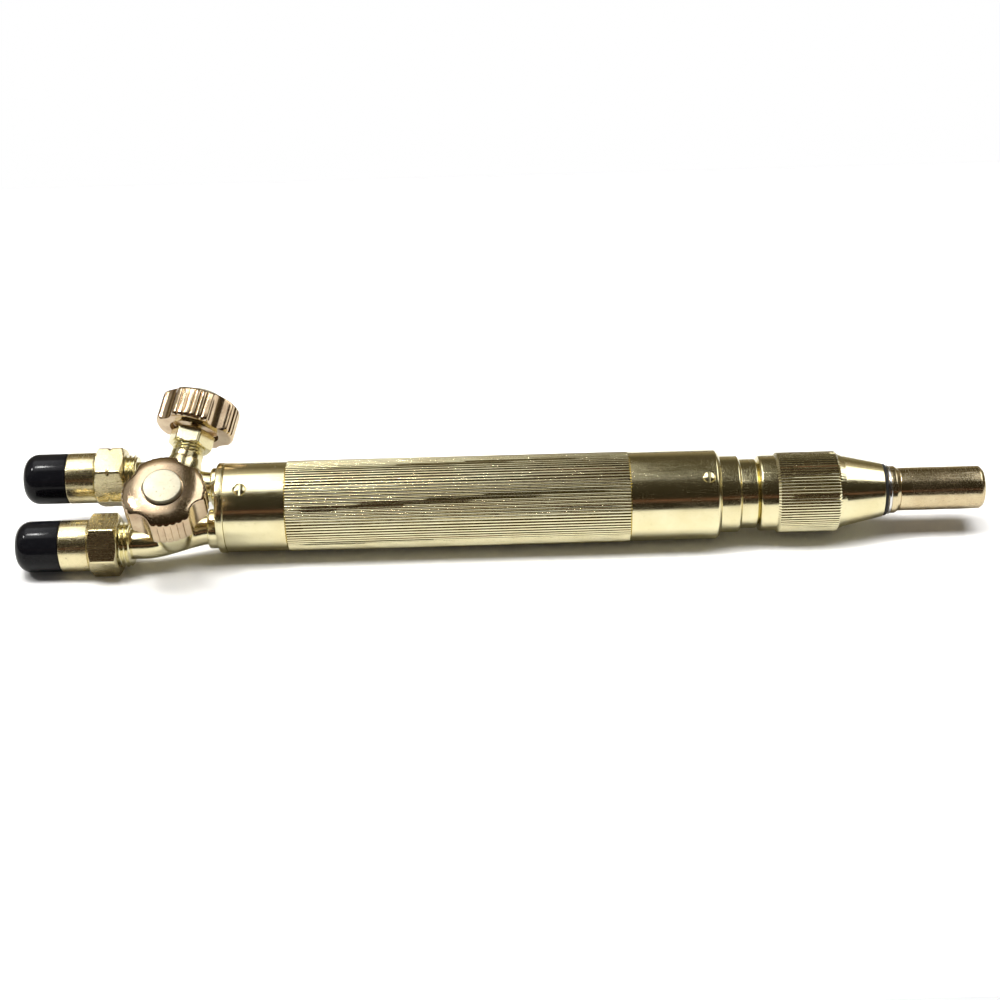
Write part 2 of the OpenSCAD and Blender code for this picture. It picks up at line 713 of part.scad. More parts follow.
check_body("fuel");  // fuel_check_body
swivel_nut("oxygen");  // oxygen_swivel_nut
swivel_nut("fuel");  // fuel_swivel_nut
swivel_ring("oxygen");  // oxygen_swivel_ring
swivel_ring("fuel");  // fuel_swivel_ring
check_poppet("oxygen");  // oxygen_check_poppet
check_poppet("fuel");  // fuel_check_poppet
poppet_seal("oxygen");  // oxygen_poppet_seal
poppet_seal("fuel");  // fuel_poppet_seal
check_spring("oxygen");  // oxygen_check_spring
check_spring("fuel");  // fuel_check_spring
spring_retainer("oxygen");  // oxygen_spring_retainer
spring_retainer("fuel");  // fuel_spring_retainer
thread_cap("oxygen");  // oxygen_thread_cap
thread_cap("fuel");  // fuel_thread_cap
coupling_nut();
tip_body();
tip_tube();
tip_port_insert();
gas_mixer();
mixer_orings();
tip_nose_oring();
tip_retaining_ring();
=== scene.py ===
"""Looks of the glassworking hand torch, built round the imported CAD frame.

Every shape is drawn in millimetres about a local Z axis, and a placement puts it in the frame, in metres.
"""

import json
import math

import bpy
import numpy as np
from mathutils import Matrix, Vector


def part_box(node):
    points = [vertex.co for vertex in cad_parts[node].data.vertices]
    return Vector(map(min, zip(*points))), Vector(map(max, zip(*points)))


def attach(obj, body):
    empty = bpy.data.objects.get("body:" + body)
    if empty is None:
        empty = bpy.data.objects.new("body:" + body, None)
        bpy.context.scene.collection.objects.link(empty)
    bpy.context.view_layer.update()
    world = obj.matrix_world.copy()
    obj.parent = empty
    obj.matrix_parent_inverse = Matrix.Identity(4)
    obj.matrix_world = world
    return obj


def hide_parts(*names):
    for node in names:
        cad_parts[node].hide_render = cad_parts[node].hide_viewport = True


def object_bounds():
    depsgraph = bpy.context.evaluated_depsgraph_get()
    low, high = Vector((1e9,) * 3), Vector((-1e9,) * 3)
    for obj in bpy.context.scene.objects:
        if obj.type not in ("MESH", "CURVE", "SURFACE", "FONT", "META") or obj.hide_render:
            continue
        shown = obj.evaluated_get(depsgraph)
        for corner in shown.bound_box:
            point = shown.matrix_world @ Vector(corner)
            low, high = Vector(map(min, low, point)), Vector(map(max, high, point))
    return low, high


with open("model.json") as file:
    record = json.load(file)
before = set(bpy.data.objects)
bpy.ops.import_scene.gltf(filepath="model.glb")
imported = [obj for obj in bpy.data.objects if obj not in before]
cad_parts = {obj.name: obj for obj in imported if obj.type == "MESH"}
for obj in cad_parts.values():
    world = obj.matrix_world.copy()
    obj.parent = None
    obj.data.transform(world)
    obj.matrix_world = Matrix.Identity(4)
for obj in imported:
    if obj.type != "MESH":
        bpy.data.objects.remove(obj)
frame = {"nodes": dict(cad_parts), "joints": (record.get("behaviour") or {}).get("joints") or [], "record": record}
cad_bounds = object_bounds()

MM = 0.001
TAU = math.tau
SIDES = ("oxygen", "fuel")
JOINTS = {joint["name"]: joint for joint in frame["joints"]}


# Places

def placement(point, along, x_hint):
    """The matrix that stands local millimetres on a point of the frame, with local Z along a direction."""
    z = Vector(along).normalized()
    x = (Vector(x_hint) - z * z.dot(Vector(x_hint))).normalized()
    turn = Matrix((x, z.cross(x), z)).transposed().to_4x4()
    return Matrix.Translation(point) @ turn @ Matrix.Scale(MM, 4)


def reach(node, place):
    """Corner points of a CAD node in a placement's own millimetres."""
    inverse = place.inverted()
    return np.array([inverse @ v.co for v in frame["nodes"][node].data.vertices])


def ends(node, place):
    """Where a CAD node starts and ends along a placement's Z."""
    z = reach(node, place)[:, 2]
    return z.min(), z.max()


def radius_of(node, place):
    """Largest radius of a CAD node about a placement's Z."""
    points = reach(node, place)
    return np.hypot(points[:, 0], points[:, 1]).max()


def corner_of(node, place):
    """Direction round Z of a CAD node's farthest point, such as a corner of a hexagon."""
    points = reach(node, place)
    far = points[np.argmax(np.hypot(points[:, 0], points[:, 1]).round(3))]
    return math.atan2(far[1], far[0])


def inlet_place(side):
    """An inlet's own axis: local Z is the torch's X."""
    low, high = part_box(f"{side}_thread_cap")
    return placement((0, (low.y + high.y) / 2, (low.z + high.z) / 2), (1, 0, 0), (0, 0, -1))


def valve_place(side):
    """A valve's own axis, from the middle of its arm outwards."""
    joint = JOINTS[f"{side}_knob_turn"]
    return placement(joint["pos_m"], joint["axis"], (1, 0, 0))


TORCH = placement((0, 0, 0), (1, 0, 0), (0, 0, -1))
INLET = {side: inlet_place(side) for side in SIDES}
VALVE = {side: valve_place(side) for side in SIDES}


# Camera

def add_camera():
    """The photograph's viewpoint: in front of the torch, looking down at it."""
    target = Vector((-0.0551, 0, 0))
    distance, elevation, roll = 0.603, math.radians(32), math.radians(-1.575)
    away = Vector((0, -math.cos(elevation), math.sin(elevation)))
    data = bpy.data.cameras.new("camera")
    data.lens, data.sensor_width = 68.4, 36
    camera = bpy.data.objects.new("camera", data)
    camera.location = target + distance * away
    look = (-away).to_track_quat("-Z", "Y").to_matrix()
    camera.rotation_euler = (look @ Matrix.Rotation(roll, 3, "Z")).to_euler()
    bpy.context.scene.collection.objects.link(camera)
    bpy.context.scene.camera = camera


# Nodes of materials and of the world

def add(tree, kind, inputs=None, **settings):
    """A shader node with its settings, its values and its links."""
    node = tree.nodes.new("ShaderNode" + kind)
    for key, value in settings.items():
        setattr(node, key, value)
    for key, value in (inputs or {}).items():
        if isinstance(value, bpy.types.NodeSocket):
            tree.links.new(value, node.inputs[key])
        else:
            node.inputs[key].default_value = value
    return node


def ramp(tree, factor, stops):
    """A colour ramp: stops are (position, grey or colour)."""
    node = add(tree, "ValToRGB", {"Fac": factor})
    elements = node.color_ramp.elements
    while len(elements) < len(stops):
        elements.new(0.5)
    for element, (position, colour) in zip(elements, stops):
        element.position = position
        colour = (colour,) * 3 if isinstance(colour, (int, float)) else colour
        element.color = (*colour, 1)
    return node.outputs["Color"]


def noise(tree, coordinates, scale, detail=3.0, roughness=0.55, stretch=(1, 1, 1), turn=(0, 0, 0)):
    """Noise whose features are about 1/scale millimetres across, drawn out by stretch."""
    mapping = add(tree, "Mapping", {"Vector": coordinates, "Rotation": turn,
                                    "Scale": [scale / MM * s for s in stretch]})
    return add(tree, "TexNoise", {"Vector": mapping.outputs[0], "Scale": 1.0, "Detail": detail,
                                  "Roughness": roughness}).outputs["Fac"]


def blend_colour(tree, factor, first, second, mode="MIX"):
    """One colour over another."""
    node = add(tree, "MixRGB", {"Fac": factor, "Color1": first, "Color2": second}, blend_type=mode)
    return node.outputs[0]


def arithmetic(tree, operation, *values):
    """A Math node."""
    return add(tree, "Math", dict(enumerate(values)), operation=operation).outputs[0]


def new_material(name):
    """An empty material with its tree, its shader and its object coordinates."""
    material = bpy.data.materials.new(name)
    material.use_nodes = True
    tree = material.node_tree
    tree.nodes.clear()
    shader = add(tree, "BsdfPrincipled")
    add(tree, "OutputMaterial", {"Surface": shader.outputs[0]})
    return material, tree, shader, add(tree, "TexCoord").outputs["Object"]


def metal(name, tint, stain, rough, speckle=0.25, marks=0.5, pits=0.3, along=(1, 0.02, 0.02)):
    """A machined metal with stains, fine turning marks, hairline scratches and brighter worn edges.

    tint and stain are its clean and its stained colour, rough the range of its roughness, speckle how
    dark its small spots are, marks and pits the depth of its turning marks and of its pitting, and
    along the way that the turning marks run: large across them, small along them.
    """
    material, tree, shader, where = new_material(name)
    clouds = noise(tree, where, 0.07, 5, 0.6)
    spots = noise(tree, where, 0.9, 4, 0.7)
    turning = noise(tree, where, 5.0, 2, 0.5, along)
    hair_1 = noise(tree, where, 1.6, 2, 0.4, (1, 0.05, 1), (0.3, 0.5, 0.4))
    hair_2 = noise(tree, where, 1.3, 2, 0.4, (0.04, 1, 1), (0.2, -0.3, 0.35))
    hairs = arithmetic(tree, "MAXIMUM", *[ramp(tree, h, [(0.485, 0), (0.5, 1), (0.515, 0)])
                                          for h in (hair_1, hair_2)])
    colour = blend_colour(tree, ramp(tree, clouds, [(0.38, 0), (0.72, 1)]), (*tint, 1), (*stain, 1))
    dirt = ramp(tree, spots, [(0.6, 1.0), (0.74, 1 - speckle)])
    colour = blend_colour(tree, 1.0, colour, dirt, "MULTIPLY")
    edge = ramp(tree, add(tree, "NewGeometry").outputs["Pointiness"], [(0.52, 0), (0.62, 0.5)])
    bright = tuple(min(1.0, 1.08 * c + 0.03) for c in tint)
    colour = blend_colour(tree, edge, colour, (*bright, 1))
    tree.links.new(colour, shader.inputs["Base Color"])
    shader.inputs["Metallic"].default_value = 1.0
    low, high = rough
    gloss = ramp(tree, clouds, [(0.3, low), (0.7, high)])
    gloss = arithmetic(tree, "ADD", gloss, arithmetic(tree, "MULTIPLY", hairs, 0.12))
    gloss = arithmetic(tree, "ADD", gloss, arithmetic(tree, "MULTIPLY", turning, 0.06 * marks))
    tree.links.new(gloss, shader.inputs["Roughness"])
    height = arithmetic(tree, "ADD", arithmetic(tree, "MULTIPLY", turning, marks),
                        arithmetic(tree, "MULTIPLY", spots, pits))
    height = arithmetic(tree, "SUBTRACT", height, arithmetic(tree, "MULTIPLY", hairs, 0.35))
    bump = add(tree, "Bump", {"Height": height, "Strength": 0.35, "Distance": 0.02 * MM})
    tree.links.new(bump.outputs[0], shader.inputs["Normal"])
    return material


def plastic(name, colour, worn, rough, grain, shine):
    """Soft plastic or rubber, with faint dust and a fine uneven skin. shine is its specular level."""
    material, tree, shader, where = new_material(name)
    dust = noise(tree, where, 0.6, 6, 0.65)
    skin = noise(tree, where, grain, 4, 0.6)
    mixed = blend_colour(tree, ramp(tree, dust, [(0.5, 0), (0.8, 1)]), (*colour, 1), (*worn, 1))
    tree.links.new(mixed, shader.inputs["Base Color"])
    shader.inputs["Specular IOR Level"].default_value = shine
    low, high = rough
    tree.links.new(ramp(tree, dust, [(0.35, low), (0.75, high)]), shader.inputs["Roughness"])
    bump = add(tree, "Bump", {"Height": skin, "Strength": 0.3, "Distance": 0.05 * MM})
    tree.links.new(bump.outputs[0], shader.inputs["Normal"])
    return material


POLISHED = metal("polished_brass_look", (0.84, 0.78, 0.51), (0.75, 0.66, 0.39), (0.08, 0.17))
KNURLED = metal("knurled_brass_look", (0.90, 0.84, 0.56), (0.78, 0.69, 0.42), (0.08, 0.16),
                0.4, 0.05, 0.25)
SATIN = metal("satin_brass_look", (0.80, 0.71, 0.44), (0.60, 0.48, 0.25), (0.15, 0.28), 0.65, 0.9, 1.6)
TIP = metal("tip_brass_look", (0.74, 0.63, 0.41), (0.54, 0.42, 0.25), (0.12, 0.26), 0.6, 0.6, 1.2)
BRONZE = metal("knob_bronze_look", (0.72, 0.57, 0.38), (0.40, 0.27, 0.17), (0.08, 0.18), 0.5, 0.2, 0.6)
HUB = metal("knob_hub_look", (0.50, 0.47, 0.36), (0.38, 0.34, 0.25), (0.34, 0.46), 0.6, 0.3, 2.2)
STEEL = metal("steel_look", (0.78, 0.78, 0.80), (0.62, 0.61, 0.60), (0.12, 0.24), 0.3, 0.4, 0.3)
VINYL = plastic("black_vinyl_look", (0.004, 0.004, 0.005), (0.008, 0.008, 0.009), (0.10, 0.20), 0.35, 0.15)
RUBBER = plastic("black_rubber_look", (0.010, 0.010, 0.010), (0.03, 0.03, 0.03), (0.35, 0.55), 1.5, 0.3)
PACKING = plastic("white_packing_look", (0.80, 0.80, 0.77), (0.66, 0.66, 0.62), (0.40, 0.60), 1.5, 0.5)


# Shapes, in local millimetres

def eased(points, radius=0.2, steps=3):
    """An open outline of (z, radius) points with rounded corners."""
    points = [Vector(p) for p in points]
    out = [points[0]]
    for before, corner, after in zip(points, points[1:], points[2:]):
        back, on = before - corner, after - corner
        cut = min(radius, 0.45 * back.length, 0.45 * on.length)
        start, stop = corner + back.normalized() * cut, corner + on.normalized() * cut
        for i in range(steps + 1):
            t = i / steps
            out.append(start.lerp(corner, t).lerp(corner.lerp(stop, t), t))
    out.append(points[-1])
    return [tuple(p) for p in out]


def finely(points, start, stop, step):
    """An outline with extra points between two heights, for a thread or a knurl to shape."""
    out = [points[0]]
    for a, b in zip(points, points[1:]):
        inside = a[0] >= start - 1e-6 and b[0] <= stop + 1e-6 and b[0] > a[0]
        count = max(1, round((b[0] - a[0]) / step)) if inside else 1
        out += [(a[0] + (b[0] - a[0]) * i / count, a[1] + (b[1] - a[1]) * i / count)
                for i in range(1, count + 1)]
    return out


def mesh_object(name, vertices, faces):
    """A linked object with that mesh."""
    mesh = bpy.data.meshes.new(name)
    mesh.from_pydata([tuple(v) for v in vertices], [], faces)
    mesh.update()
    obj = bpy.data.objects.new(name, mesh)
    bpy.context.scene.collection.objects.link(obj)
    return obj


def lathe(outline, segments=128, shape=None, closed=False):
    """A solid of revolution about Z. shape(z, radius, angle) may move its points. A closed outline runs
    up the outside and back down the bore."""
    z, r = [np.repeat(np.array(column)[:, None], segments, 1) for column in zip(*outline)]
    angle = np.arange(segments)[None, :] * TAU / segments
    if shape:
        z, r = shape(z, r, angle)
    vertices = np.stack([r * np.cos(angle), r * np.sin(angle), z], -1).reshape(-1, 3)
    rows = len(outline)
    faces = []
    for i in range(rows if closed else rows - 1):
        low, high = i * segments, (i + 1) % rows * segments
        faces += [(low + j, low + (j + 1) % segments, high + (j + 1) % segments, high + j)
                  for j in range(segments)]
    if not closed:
        faces += [tuple(range(segments))[::-1], tuple(range((rows - 1) * segments, rows * segments))]
    return mesh_object("shape", vertices, faces)


def fade(z, start, stop, length):
    """1 between two heights, falling to 0 over a length at both ends."""
    return np.clip((z - start) / length, 0, 1) * np.clip((stop - z) / length, 0, 1)


def screw_thread(start, stop, root, pitch):
    """A shape for lathe: a helical thread cut between two heights."""
    def shape(z, r, angle):
        wave = 1 - abs(2 * ((z / pitch - angle / TAU) % 1) - 1)
        valley = np.clip(1.3 * wave - 0.15, 0, 1) * fade(z, start, stop, 0.6 * pitch)
        return z, r - np.maximum(r - root, 0) * valley
    return shape


def straight_knurl(start, stop, count, depth, crest=0.45):
    """A shape for lathe: straight grooves along Z, cut a little unevenly."""
    def shape(z, r, angle):
        turns = angle * count / TAU
        wave = 1 - abs(2 * (turns % 1) - 1)
        uneven = 1 + 0.05 * np.sin(7.3 * np.floor(turns) + 0.05 * z)
        valley = np.clip((wave - crest) / (1 - crest), 0, 1)
        return z, r - depth * uneven * valley * fade(z, start, stop, 0.45)
    return shape


def hexagon(across, corner, start, stop, chamfer, notch=None):
    """A shape for lathe: a hexagon with turned chamfers and, if notch is given, vees that deep across its
    corners."""
    def shape(z, r, angle):
        half = across / 2
        side = half / np.cos((angle - corner) % (TAU / 6) - TAU / 12)
        tip = half / math.cos(TAU / 12)
        side = np.minimum(side, tip - 0.12)
        cone = half - 0.25 + 1.75 * np.minimum(z - start, stop - z) / chamfer
        outer = np.minimum(side, np.maximum(cone, half - 0.25))
        if notch:
            outer = np.minimum(outer, tip - notch + 0.625 * abs(z - (start + stop) / 2))
        return z, np.where(r > half - 0.3, outer, r)
    return shape


def modified(obj, kind, **settings):
    """obj with one modifier applied."""
    modifier = obj.modifiers.new(kind, kind)
    for key, value in settings.items():
        setattr(modifier, key, value)
    graph = bpy.context.evaluated_depsgraph_get()
    mesh = bpy.data.meshes.new_from_object(obj.evaluated_get(graph))
    obj.modifiers.clear()
    obj.data = mesh
    return obj


def combined(obj, tool, operation):
    """A boolean of two solids. The tool is used up."""
    modified(obj, "BOOLEAN", operation=operation, object=tool, solver="EXACT")
    bpy.data.objects.remove(tool)
    return obj


def joined(*objs):
    """Several solids as one mesh object."""
    vertices, faces = [], []
    for obj in objs:
        base = len(vertices)
        vertices += [tuple(obj.matrix_world @ v.co) for v in obj.data.vertices]
        faces += [tuple(base + i for i in p.vertices) for p in obj.data.polygons]
        bpy.data.objects.remove(obj)
    return mesh_object("shape", vertices, faces)


def moved(obj, matrix):
    """obj with its mesh moved by a matrix."""
    obj.data.transform(matrix)
    return obj


def piece(obj, name, place, body, material, slot, *nodes, crease=34):
    """Names a shape, puts it in the frame, gives it its body and its finish, and hides the CAD nodes it
    stands for."""
    obj.name = obj.data.name = name
    obj.data.transform(place)
    obj.data.shade_smooth()
    obj.data.set_sharp_from_angle(angle=math.radians(crease))
    obj.data.materials.clear()
    obj.data.materials.append(material)
    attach(obj, body)
    if nodes:
        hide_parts(*nodes)
    return obj


# Handle

BAND_DROP = 0.15        # the plain bands are this much thinner than the grip, on the radius
REAR_BAND = 19.2
FRONT_BAND = 28.3
FRONT_BEVEL = 1.25
GRIP_GROOVES = 84
GRIP_GROOVE_DEPTH = 0.28
WALL = 2                # thickness of the handle's plain bands
SCREW_HEAD = 2.1
SCREW_SINK = 0.9
SLOT_HALF = 0.3


def screw_places():
    """Placements of the two handle screws, pointing away from the torch axis."""
    points = np.array([v.co for v in frame["nodes"]["handle_screws"].data.vertices]) / MM
    low, high = points[:, 0].min(), points[:, 0].max()
    out = Vector((0, points[:, 1].mean(), points[:, 2].mean()))
    head = SCREW_HEAD - 0.15
    return [placement((x * MM, 0, 0), out, (1, 0, 0)) for x in (low + head, high - head)]


def build_handle():
    """The knurled tube, with its screws in two small counterbores."""
    rear, front = ends("handle_tube", TORCH)
    grip = radius_of("handle_tube", TORCH)
    band = grip - BAND_DROP
    bore = band - WALL
    start, stop = rear + REAR_BAND, front - FRONT_BAND
    outline = eased([(rear, bore), (rear, band), (start - 0.05, band)], 0.25)
    outline += [(start, grip - 0.5), (start + 0.35, grip)]
    outline += [(start + 0.35 + (stop - start - 0.7) * i / 36, grip) for i in range(1, 37)]
    outline += [(stop, grip - 0.5)]
    outline += eased([(stop + 0.05, band), (front - FRONT_BEVEL, band),
                      (front, band - FRONT_BEVEL), (front, bore)], 0.3)
    shape = straight_knurl(start, stop, GRIP_GROOVES, GRIP_GROOVE_DEPTH)
    tube = lathe(outline, GRIP_GROOVES * 8, shape, closed=True)
    heads = []
    for place in screw_places():
        local = TORCH.inverted() @ place
        sink = lathe([(band - SCREW_SINK, SCREW_HEAD), (band + 1, SCREW_HEAD)], 48)
        tube = combined(tube, moved(sink, local), "DIFFERENCE")
        low = band - SCREW_SINK + 0.05
        dome = [(low, SCREW_HEAD - 0.12), (band - 0.45, SCREW_HEAD - 0.12), (band - 0.2, SCREW_HEAD - 0.35),
                (band, SCREW_HEAD - 0.9), (band + 0.12, 0.6), (band + 0.14, 0.05)]
        head = lathe(eased(dome, 0.25), 48)
        slot = box_solid((-SLOT_HALF, -3, band - 0.4), (SLOT_HALF, 3, band + 1))
        head = combined(head, slot, "DIFFERENCE")
        heads.append(moved(head, local))
    piece(tube, "grip_tube", TORCH, "torch", KNURLED, "polished_brass", "handle_tube")
    tube.data.materials.append(POLISHED)
    for face in tube.data.polygons:
        x = face.center.x / MM
        face.material_index = 0 if start < x < stop else 1
    piece(joined(*heads), "grip_screw_heads", TORCH, "torch", POLISHED, "polished_brass", "handle_screws")


def box_solid(low, high):
    """A box between two corners, as a cutting tool."""
    (x0, y0, z0), (x1, y1, z1) = low, high
    corners = [(x, y, z) for x in (x0, x1) for y in (y0, y1) for z in (z0, z1)]
    faces = [(0, 1, 3, 2), (4, 6, 7, 5), (0, 4, 5, 1), (2, 3, 7, 6), (0, 2, 6, 4), (1, 5, 7, 3)]
    return mesh_object("tool", corners, faces)


# Heads

FLANGE_LEN = 2.5
ARM_BOSS_LEN = 2.9
ARM_BOSS_R = 6.2


def build_rear_head():
    """The flange behind the handle, with a boss round each arm."""
    rear, _ = ends("rear_head", TORCH)
    flange_r = radius_of("rear_head", TORCH)
    flange = rear + ARM_BOSS_LEN
    outline = [(flange, 6), (flange, flange_r), (flange + FLANGE_LEN - 0.05, flange_r),
               (flange + FLANGE_LEN - 0.05, flange_r - 1), (flange + FLANGE_LEN + 2, flange_r - 2.6)]
    head = lathe(eased(outline, 0.55, 4))
    for side in SIDES:
        arm = (TORCH.inverted() @ VALVE[side]).translation
        out = Vector((arm.x, arm.y, 0)).normalized() * EXIT_OFFSET
        boss = lathe(eased([(rear, 3), (rear, ARM_BOSS_R), (flange + 1, ARM_BOSS_R)], 0.8, 4), 96)
        head = combined(head, moved(boss, Matrix.Translation(out)), "UNION")
    piece(head, "rear_flange", TORCH, "torch", POLISHED, "polished_brass", "rear_head")


NECK_STEP = 6.4         # length of the first step in front of the handle
NECK_STEP_R = 12.12
NECK_LEN = 5.35
NECK_R = 11.0
NUT_THREAD_R = 9.45
NUT_PITCH = 1.27


def build_front_head():
    """The stepped nose in front of the handle, with the coupling thread."""
    _, front = ends("front_head", TORCH)
    _, handle_front = ends("handle_tube", TORCH)
    step, neck = handle_front + NECK_STEP, handle_front + NECK_STEP + NECK_LEN
    thread = neck + 1.1
    outline = eased([(handle_front - 6, NECK_STEP_R - 0.3), (handle_front - 0.5, NECK_STEP_R),
                     (step - 0.7, NECK_STEP_R), (step, NECK_STEP_R - 0.7), (step, NECK_R),
                     (neck - 0.4, NECK_R), (neck + 0.65, NUT_THREAD_R), (thread, NUT_THREAD_R)], 0.2)
    outline += [(front - 0.8, NUT_THREAD_R), (front, NUT_THREAD_R - 0.8), (front, 7), (front - 2.4, 4.6),
                (handle_front + 3, 4.6), (handle_front + 3, 1), (handle_front - 6, 1)]
    outline = finely(outline, thread, front - 0.8, NUT_PITCH / 10)
    shape = screw_thread(thread, front + 0.5, NUT_THREAD_R - 0.62, NUT_PITCH)
    neck_piece = lathe(outline, 128, shape, closed=True)
    piece(neck_piece, "front_neck", TORCH, "torch", POLISHED, "polished_brass", "front_head")


# Inlet arms

INLET_OFFSET = 12.5
EXIT_OFFSET = 7.7
ARM_R = 4.75
BEND_LEN = 22.0
VALVE_BACK = 1.48       # each valve stands this far behind the middle of its arm's bend
INLET_THREAD_R = 7.1
INLET_THREAD_LEN = 9.3
INLET_PITCH = 1.41
BOSS_R = 6.0
BOSS_BOTTOM, BOSS_TOP = -1.5, 8.6
FORGING_VOXEL = 0.24    # the bent tube and the boss are blended into one skin at this fineness
NECK_THREAD_R = 5.2
NECK_THREAD_TOP = 14.0
NECK_PITCH = 1.058


def swept(points, radius, sides=48):
    """A round bar along a smooth line of points in the local XZ plane."""
    points = np.array(points)
    ahead = np.gradient(points, axis=0)
    ahead /= np.linalg.norm(ahead, axis=1)[:, None]
    across = np.array([0, 1, 0])
    up = np.cross(ahead, across)
    angle = np.arange(sides) * TAU / sides
    rings = (points[:, None] + radius * (np.cos(angle)[None, :, None] * up[:, None]
                                         + np.sin(angle)[None, :, None] * across))
    rows = len(points)
    faces = [(i * sides + j, i * sides + (j + 1) % sides,
              (i + 1) * sides + (j + 1) % sides, (i + 1) * sides + j)
             for i in range(rows - 1) for j in range(sides)]
    faces += [tuple(range(sides))[::-1], tuple(range((rows - 1) * sides, rows * sides))]
    obj = mesh_object("shape", rings.reshape(-1, 3), faces)
    obj.data.validate()
    return obj


def build_arm(side):
    """One forging: the S-bend tube and the valve boss flow together, with both threads cut on it."""
    inlet = INLET[side]
    start, _ = ends(f"{side}_inlet_arm", inlet)
    shoulder = start + INLET_THREAD_LEN
    valve = TORCH.inverted() @ VALVE[side]
    head_x, _ = ends("rear_head", TORCH)
    out = Vector((valve.translation.x, valve.translation.y, 0)).normalized()
    middle = valve.translation.z + VALVE_BACK
    # the plane of the arm: local Z along the torch, local X away from the torch axis
    plane = Matrix((out, Vector((0, 0, 1)).cross(out), (0, 0, 1))).transposed().to_4x4()
    line = []
    for i in range(61):
        x = shoulder - 3 + (head_x + 2 - shoulder + 3) * i / 60
        t = min(1, max(0, (x - middle) / BEND_LEN + 0.5))
        ease = t * t * (3 - 2 * t)
        line.append((INLET_OFFSET + (EXIT_OFFSET - INLET_OFFSET) * ease, 0, x))
    tube = moved(swept(line, ARM_R), plane)
    boss_outline = eased([(BOSS_BOTTOM, 2.5), (BOSS_BOTTOM + 1.4, BOSS_R - 0.9),
                          (BOSS_BOTTOM + 3.2, BOSS_R), (BOSS_TOP - 3.4, BOSS_R),
                          (BOSS_TOP - 0.6, BOSS_R - 1.0), (BOSS_TOP, 4)], 1.3, 5)
    boss = moved(lathe(boss_outline, 96), valve)
    forging = modified(joined(tube, boss), "REMESH", mode="VOXEL", voxel_size=FORGING_VOXEL)
    forging = modified(forging, "SMOOTH", factor=0.5, iterations=16)
    threads = finely([(start, INLET_THREAD_R - 0.7), (start + 0.7, INLET_THREAD_R),
                      (shoulder - 0.7, INLET_THREAD_R), (shoulder, INLET_THREAD_R - 0.7), (shoulder, 3)],
                     start, shoulder, INLET_PITCH / 10)
    shape = screw_thread(start - 1, shoulder + 0.6, INLET_THREAD_R - 0.75, INLET_PITCH)
    inlet_thread = moved(lathe(threads, 128, shape), TORCH.inverted() @ inlet)
    neck = finely([(BOSS_TOP - 1.5, NECK_THREAD_R), (NECK_THREAD_TOP - 0.4, NECK_THREAD_R),
                   (NECK_THREAD_TOP, NECK_THREAD_R - 0.4)], BOSS_TOP - 1.5, NECK_THREAD_TOP, NECK_PITCH / 10)
    shape = screw_thread(BOSS_TOP + 0.1, NECK_THREAD_TOP + 1, NECK_THREAD_R - 0.6, NECK_PITCH)
    arm = joined(forging, inlet_thread, moved(lathe(neck, 96, shape), valve))
    piece(arm, f"{side}_arm_forging", TORCH, "torch", POLISHED, "polished_brass", f"{side}_inlet_arm")


# Valves

KNOB_LOBES = 4
KNOB_TURN = {"oxygen": math.radians(13), "fuel": 0.0}
SCOOP_DISTANCE, SCOOP_R = 1.25, 0.422    # of the knob's radius
LOBE_GROOVES = (-2, -1, 0, 1, 2)
GROOVE_STEP = math.radians(9.5)
GROOVE_HALF, GROOVE_DEPTH = 0.62, 0.62
RECESS_R, RECESS_LEN = 8.0, 2.3
HUB_SEAT_R = 5.4
HUB_GAP = 0.28           # the disc stands in a groove this wide


def lobed(knob_r, turned_by):
    """A shape for lathe: scoops between four lobes, and straight grooves across each lobe."""
    def shape(z, r, angle):
        angle = angle - turned_by
        quarter = TAU / KNOB_LOBES
        from_scoop = angle % quarter - quarter / 2
        distance, scoop_r = SCOOP_DISTANCE * knob_r, SCOOP_R * knob_r
        inside = scoop_r**2 - (distance * np.sin(from_scoop))**2
        near_side = distance * np.cos(from_scoop) - np.sqrt(np.maximum(inside, 0))
        scoop = np.where(inside > 0, near_side, 2 * knob_r)
        soft = 0.8
        edge = np.clip(0.5 + 0.5 * (scoop - knob_r) / soft, 0, 1)
        rim = scoop * (1 - edge) + knob_r * edge - soft * edge * (1 - edge)
        from_lobe = (angle + quarter / 2) % quarter - quarter / 2
        for i in LOBE_GROOVES:
            off = abs(from_lobe - i * GROOVE_STEP) * knob_r
            rim = rim - GROOVE_DEPTH * np.clip(1 - off / GROOVE_HALF, 0, 1)
        edge = np.clip(0.5 + 0.5 * (rim - r) / soft, 0, 1)
        held = rim * (1 - edge) + r * edge - soft * edge * (1 - edge)
        return z, np.where(r > RECESS_R + 0.3, held, r)
    return shape


